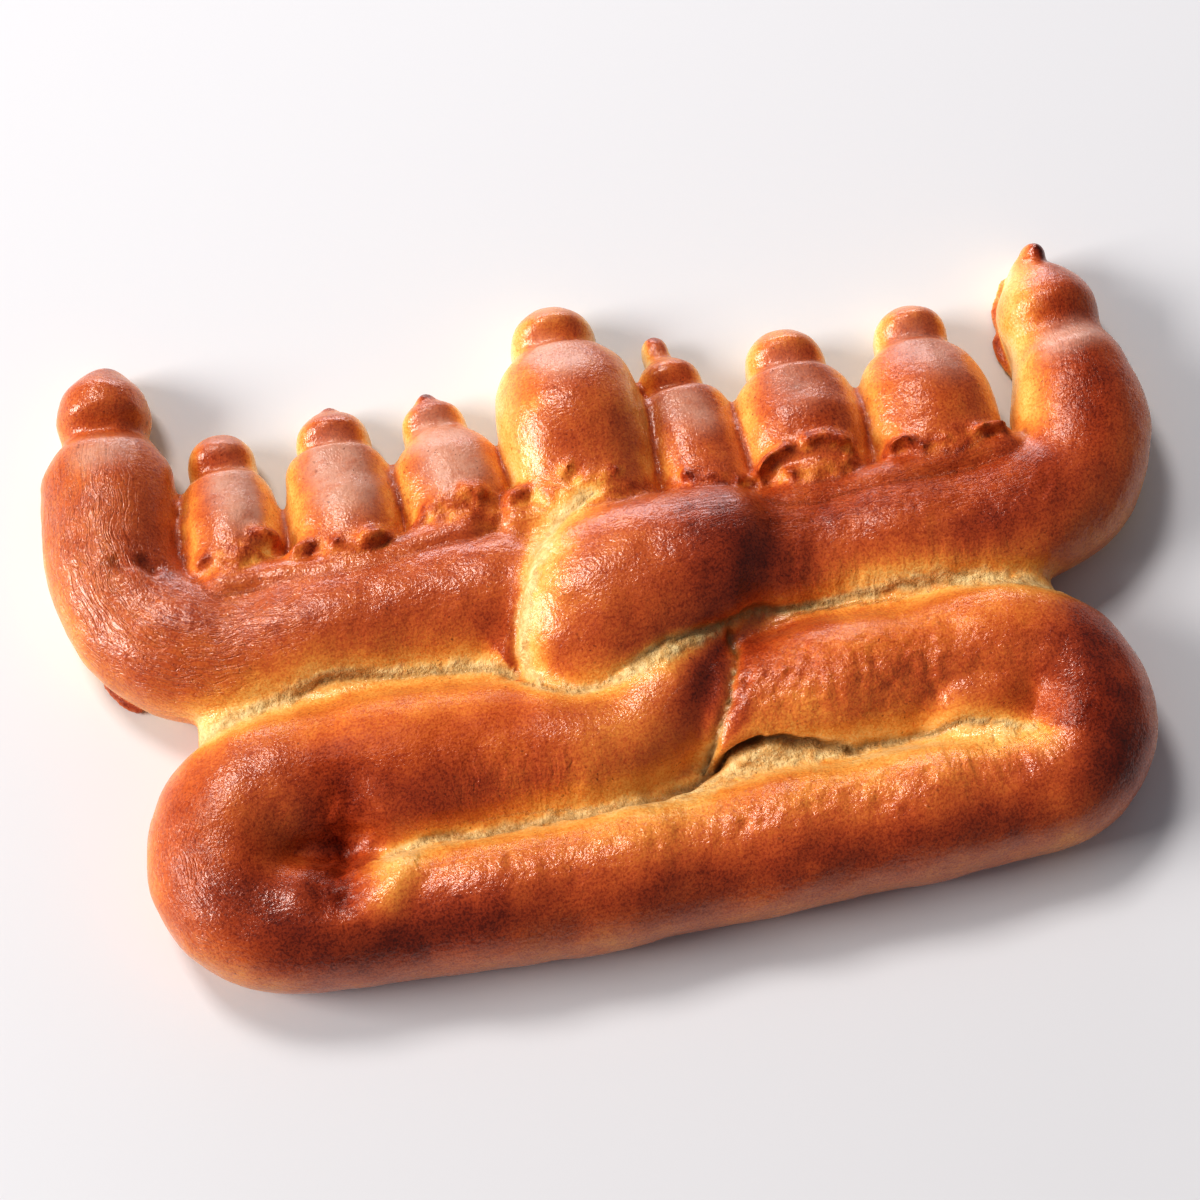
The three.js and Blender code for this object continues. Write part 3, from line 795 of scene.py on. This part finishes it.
# %% Close the underside and make the loaf
for v, co in zip(loaf_bm.verts, place):
    v.co = co
rim = [e for e in loaf_bm.edges if e.is_boundary]
bmesh.ops.triangle_fill(loaf_bm, use_beauty=True, edges=rim)
bmesh.ops.recalc_face_normals(loaf_bm, faces=loaf_bm.faces)
bmesh.ops.translate(loaf_bm, verts=loaf_bm.verts, vec=(-LOAF_CENTRE[0], -LOAF_CENTRE[1], 0))
bmesh.ops.scale(loaf_bm, verts=loaf_bm.verts, vec=(MM, MM, MM))
loaf_mesh = bpy.data.meshes.new("challah_crust")
loaf_bm.to_mesh(loaf_mesh)
loaf_bm.free()
loaf_mesh.shade_smooth()
crust_piece = bpy.data.objects.new("challah_crust", loaf_mesh)
bpy.context.scene.collection.objects.link(crust_piece)


def keep(name, values):
    layer = loaf_mesh.attributes.new(name, "FLOAT", "POINT")
    layer.data.foreach_set("value", np.asarray(values, np.float32))


for name, values in (("bake", bake), ("crumb", in_seam), ("torn", torn), ("pleats", pleats),
                     ("marks", stretch_marks), ("bare_and_sheen", np.clip(bare_and_sheen, 0, 1)),
                     ("blisters", blisters)):
    keep(name, values)
# the cracks' depth, also kept for the painted shade that darkens them
keep("crack", np.clip(crack / 3, 0, 1))
keep("dull", np.clip(np.maximum(0.45 * torn, spots(place, DULL)), 0, 1))
layer = loaf_mesh.attributes.new("fibre", "FLOAT_VECTOR", "POINT")
layer.data.foreach_set("vector", np.asarray(fibre * MM, np.float32).ravel())
loaf_mesh.calc_loop_triangles()
print("loaf:", len(loaf_mesh.loop_triangles), "triangles")

# %% [markdown]
# ## The crust's material
# One material covers the loaf, because it is one skin that differs mostly in how far it is baked. A
# colour ramp turns the browning into colour, noise breaks it up, and three bumps give it skin.
# Painted shade darkens the cracks and the pleats' grooves, and a painted sheen lies on the candles'
# tops. The egg wash is a clear coat over that. It has its own, softer bumps, because a glaze fills
# the finest grain. Crumb, bare dough with its painted sheen and thin egg wash get less of the coat.

# %% Small helpers for node trees
crust = bpy.data.materials.new("egg_washed_crust")
crust.use_nodes = True
tree = crust.node_tree
tree.nodes.clear()


def add(kind, **settings):
    node = tree.nodes.new("ShaderNode" + kind)
    for name, value in settings.items():
        setattr(node, name, value)
    return node


def put(socket, value):
    if isinstance(value, bpy.types.NodeSocket):
        tree.links.new(value, socket)
    else:
        socket.default_value = value


def calc(operation, *values):
    node = add("Math", operation=operation)
    for socket, value in zip(node.inputs, values):
        put(socket, value)
    return node.outputs[0]


def blend(factor, one, two):
    node = add("Mix", data_type="RGBA")
    put(node.inputs["Factor"], factor)
    put(node.inputs[6], one)
    put(node.inputs[7], two)
    return node.outputs[2]


def stored(name, output="Fac"):
    return add("Attribute", attribute_type="GEOMETRY", attribute_name=name).outputs[output]


def grain(vector, scale, detail=3.0, roughness=0.55, distortion=0.0):
    node = add("TexNoise", noise_dimensions="3D")
    for name, value in (("Vector", vector), ("Scale", scale), ("Detail", detail),
                        ("Roughness", roughness), ("Distortion", distortion)):
        put(node.inputs[name], value)
    return node.outputs["Fac"]


def stretched(vector, scale):
    node = add("Mapping")
    put(node.inputs["Vector"], vector)
    node.inputs["Scale"].default_value = scale
    return node.outputs["Vector"]


def between(value, low, high, to_low=0.0, to_high=1.0):
    node = add("MapRange", interpolation_type="SMOOTHSTEP")
    for socket, v in zip(node.inputs, (value, low, high, to_low, to_high)):
        put(socket, v)
    return node.outputs[0]


# %% Colour from the browning
here = add("TexCoord").outputs["Object"]
along = stored("fibre", "Vector")


def centred(value):
    return calc("SUBTRACT", value, 0.5)


def vector(operation, one, two):
    node = add("VectorMath", operation=operation)
    put(node.inputs[0], one)
    if operation == "SCALE":
        node.inputs["Scale"].default_value = two
    else:
        put(node.inputs[1], two)
    return node.outputs[0]


wavy = add("TexNoise", noise_dimensions="3D")
put(wavy.inputs["Vector"], here)
wavy.inputs["Scale"].default_value = 110
wavy.inputs["Detail"].default_value = 0
wavy_along = vector("ADD", along, vector("SCALE", wavy.outputs["Color"], 0.005))

mottle = centred(grain(here, 85, 5, 0.65))
speckle = centred(grain(here, 700, 4, 0.7))
streak = centred(grain(stretched(wavy_along, (90, 560, 560)), 1, 3, 0.6))
browning = calc("ADD", stored("bake"), calc("MULTIPLY", mottle, 0.26))
calm = between(stored("bake"), 0.5, 0.85, 1.0, 0.45)  # dark crust is more even
browning = calc("ADD", browning, calc("MULTIPLY", calc("MULTIPLY", speckle, 0.28), calm))
browning = calc("ADD", browning, calc("MULTIPLY", streak, 0.14))
browning = calc("ADD", browning, between(grain(here, 1050, 2, 0.6), 0.46, 0.62, -0.03, 0.075))
ramp = add("ValToRGB")
STOPS = [
    (0.00, (0.92, 0.63, 0.29)), (0.12, (0.90, 0.49, 0.14)), (0.26, (0.81, 0.32, 0.066)),
    (0.40, (0.67, 0.200, 0.042)), (0.55, (0.53, 0.118, 0.028)), (0.70, (0.36, 0.060, 0.015)),
    (0.86, (0.17, 0.019, 0.005)), (1.00, (0.07, 0.008, 0.004)),
]
while len(ramp.color_ramp.elements) < len(STOPS):
    ramp.color_ramp.elements.new(0.5)
for element, (at, colour) in zip(ramp.color_ramp.elements, STOPS):
    element.position = at
    element.color = (*colour, 1)
put(ramp.inputs["Fac"], browning)
print("tones from raw to nearly burnt:", len(STOPS))

crumb_tone = blend(between(grain(here, 300, 4, 0.65), 0.35, 0.65), (0.66, 0.42, 0.18, 1),
                   (0.91, 0.69, 0.37, 1))
crumb = calc("MULTIPLY", stored("crumb"), between(grain(here, 160, 3), 0.3, 0.55, 0.5, 1.0))
colour = blend(crumb, ramp.outputs["Color"], crumb_tone)
# Painted shade: the cracks are darkened along their depth, where shade falls inside them.
colour = blend(calc("MULTIPLY", stored("crack"), 0.85), colour, (0.18, 0.080, 0.022, 1))
# Painted sheen: the candles' tops and shoulders get a pinkish veil in place of a low back window's
# reflection, over dough that the egg wash partly missed.
bare_and_sheen = calc("MULTIPLY", stored("bare_and_sheen"), between(grain(here, 240, 4, 0.7), 0.25, 0.6, 0.55, 1.0))
colour = blend(calc("MULTIPLY", bare_and_sheen, 0.8), colour, (0.65, 0.375, 0.285, 1))

# %% Pores and specks
fleck = between(grain(here, 780, 1, 0.4), 0.68, 0.76)
fleck = calc("MULTIPLY", fleck, between(grain(here, 60, 2), 0.45, 0.62, 0.15, 1.0))
colour = blend(calc("MULTIPLY", fleck, 0.55), colour, (0.10, 0.018, 0.006, 1))
pore = add("TexVoronoi", feature="F1", voronoi_dimensions="3D")
put(pore.inputs["Vector"], vector("ADD", here, vector("SCALE", wavy.outputs["Color"], 0.004)))
put(pore.inputs["Scale"], 200.0)
few = between(grain(here, 70, 2), 0.58, 0.68)
pores = calc("MULTIPLY", between(pore.outputs["Distance"], 0.08, 0.24, 1.0, 0.0), few)
colour = blend(calc("MULTIPLY", pores, 0.35), colour, (0.10, 0.02, 0.008, 1))


# %% Bumps
def bump(height, strength, distance, below=None):
    node = add("Bump")
    put(node.inputs["Height"], height)
    node.inputs["Strength"].default_value = strength
    node.inputs["Distance"].default_value = distance
    if below is not None:
        put(node.inputs["Normal"], below)
    return node.outputs["Normal"]


def folded(value, width):
    """0 along thin winding lines, 1 between them."""
    return between(calc("ABSOLUTE", centred(value)), 0.0, width)


skin_grain = calc("ADD", grain(here, 1100, 2, 0.5), calc("MULTIPLY", grain(here, 420, 3, 0.6), 1.5))
normal = bump(skin_grain, 0.35, 0.0004)
long_folds = folded(grain(stretched(wavy_along, (30, 250, 250)), 1, 1, 0.5), 0.04)
short_folds = folded(grain(stretched(wavy_along, (45, 620, 620)), 1, 2, 0.5), 0.05)
creases = calc("ADD", calc("MULTIPLY", long_folds, 0.4), calc("MULTIPLY", short_folds, 0.3))
pleat_height = calc("MULTIPLY", stored("pleats"), creases)
mark_height = calc("MULTIPLY", stored("marks"),
                   grain(stretched(wavy_along, (260, 60, 60)), 1, 2, 0.5))
fine_pleats = calc("MULTIPLY", grain(stretched(wavy_along, (220, 520, 520)), 1, 2, 0.6), 0.16)
blister_height = calc("MULTIPLY", stored("blisters"), grain(here, 330, 3, 0.6, 0.4))
lines = calc("ADD", calc("ADD", pleat_height, calc("MULTIPLY", mark_height, 1.6)),
             calc("ADD", fine_pleats, blister_height))
normal = bump(lines, 0.6, 0.0010, normal)
broken = calc("MAXIMUM", stored("crumb"), calc("MULTIPLY", stored("torn"), 0.35))
open_height = calc("MULTIPLY", broken, grain(here, 420, 3, 0.7))
normal = bump(open_height, 0.9, 0.0012, normal)
lumps = grain(here, 210, 3, 0.6)
glaze = bump(calc("ADD", calc("MULTIPLY", skin_grain, 0.5), lumps), 0.45, 0.0007)
glaze = bump(calc("ADD", lines, calc("MULTIPLY", open_height, 0.8)), 0.6, 0.0009, glaze)
# Painted shade: the pleats' grooves are darkened, where shade falls between the folds.
crease_shade = calc("MULTIPLY", stored("pleats"), calc("SUBTRACT", 1.0, long_folds))
colour = blend(calc("MULTIPLY", crease_shade, 0.14), colour, (0.13, 0.022, 0.008, 1))

# %% Gloss
shader = add("BsdfPrincipled")
put(shader.inputs["Base Color"], colour)
gloss = between(browning, 0.1, 0.6, 0.62, 0.40)
gloss = calc("ADD", gloss, calc("MULTIPLY", centred(grain(here, 140, 3)), 0.25))
put(shader.inputs["Roughness"], calc("MAXIMUM", gloss, calc("MULTIPLY", crumb, 0.85)))
put(shader.inputs["Normal"], normal)
put(shader.inputs["Coat Normal"], glaze)
shader.inputs["Specular IOR Level"].default_value = 0.15
dull = calc("MAXIMUM", crumb, calc("MULTIPLY", bare_and_sheen, 0.7))
dull = calc("MAXIMUM", dull, stored("dull"))
coat = calc("SUBTRACT", 0.9, calc("MULTIPLY", dull, 0.9))
put(shader.inputs["Coat Weight"], coat)
shader.inputs["Coat Roughness"].default_value = 0.22
shader.inputs["Coat IOR"].default_value = 1.6
shader.inputs["Sheen Weight"].default_value = 0.05
shader.inputs["Sheen Roughness"].default_value = 0.40
shader.inputs["Sheen Tint"].default_value = (1.0, 0.82, 0.76, 1)
output = add("OutputMaterial")
tree.links.new(shader.outputs[0], output.inputs[0])
loaf_mesh.materials.append(crust)
print("nodes in the crust's material:", len(tree.nodes))

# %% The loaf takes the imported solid's place
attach(crust_piece, "root")
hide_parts("challah_loaf")

# %% [markdown]
# ## Table, light and camera
# The loaf lies on a white table beside two windows: a bright one high up at the back left, and a
# large low one at the left. Both are area lamps, because a large lamp has a window's soft shadow
# edge. A weak low lamp behind the loaf and a pale sky keep the shadows open. The camera stands over
# the front edge and looks steeply down.

# %% Table
table_bm = bmesh.new()
bmesh.ops.create_grid(table_bm, x_segments=2, y_segments=2, size=3)
bmesh.ops.translate(table_bm, verts=table_bm.verts, vec=(0, 0, -0.0003))
table_mesh = bpy.data.meshes.new("table")
table_bm.to_mesh(table_mesh)
table_bm.free()
table = bpy.data.objects.new("table", table_mesh)
bpy.context.scene.collection.objects.link(table)
white = bpy.data.materials.new("white_table")
white.use_nodes = True
paint = white.node_tree.nodes["Principled BSDF"]
paint.inputs["Base Color"].default_value = (0.745, 0.74, 0.765, 1)
paint.inputs["Roughness"].default_value = 0.7
table_mesh.materials.append(white)
print("table", round(table.dimensions.x, 1), "m wide")


# %% Lamps
def lamp(name, place, size, power, colour):
    data = bpy.data.lights.new(name, "AREA")
    data.shape = "RECTANGLE"
    data.size, data.size_y = size
    data.energy = power
    data.color = colour
    light = bpy.data.objects.new(name, data)
    light.location = place
    light.rotation_euler = (-Vector(place)).to_track_quat("-Z", "Y").to_euler()
    bpy.context.scene.collection.objects.link(light)


lamp("window", (-1.45, 3.30, 4.80), (1.5, 1.4), 124, (1.0, 0.97, 0.93))
lamp("side_window", (-4.90, 0.60, 2.70), (2.8, 2.2), 245, (1.0, 0.97, 0.93))
lamp("back_window", (0.20, 1.80, 0.22), (1.4, 0.4), 10, (0.88, 0.93, 1.0))
sky = bpy.data.worlds.new("sky")
sky.use_nodes = True
sky.node_tree.nodes["Background"].inputs["Color"].default_value = (0.93, 0.95, 1.0, 1)
sky.node_tree.nodes["Background"].inputs["Strength"].default_value = 0.19
bpy.context.scene.world = sky
print("lamps:", len(bpy.data.lights))

# %% Camera
CAMERA_AZIMUTH, CAMERA_ELEVATION = math.radians(-12), math.radians(68)
CAMERA_DISTANCE = 1.01333
LOOK_AT = Vector((-0.01064, -0.00308, 0.01813))
back = Vector((math.sin(CAMERA_AZIMUTH) * math.cos(CAMERA_ELEVATION),
               -math.cos(CAMERA_AZIMUTH) * math.cos(CAMERA_ELEVATION),
               math.sin(CAMERA_ELEVATION)))
camera_data = bpy.data.cameras.new("camera")
camera_data.lens = 80
camera_data.sensor_width = 36
camera = bpy.data.objects.new("camera", camera_data)
camera.location = LOOK_AT + back * CAMERA_DISTANCE
camera.rotation_euler = (-back).to_track_quat("-Z", "Y").to_euler()
bpy.context.scene.collection.objects.link(camera)
bpy.context.scene.camera = camera
bpy.context.scene.view_settings.view_transform = "Standard"
bpy.context.scene.view_settings.look = "High Contrast"
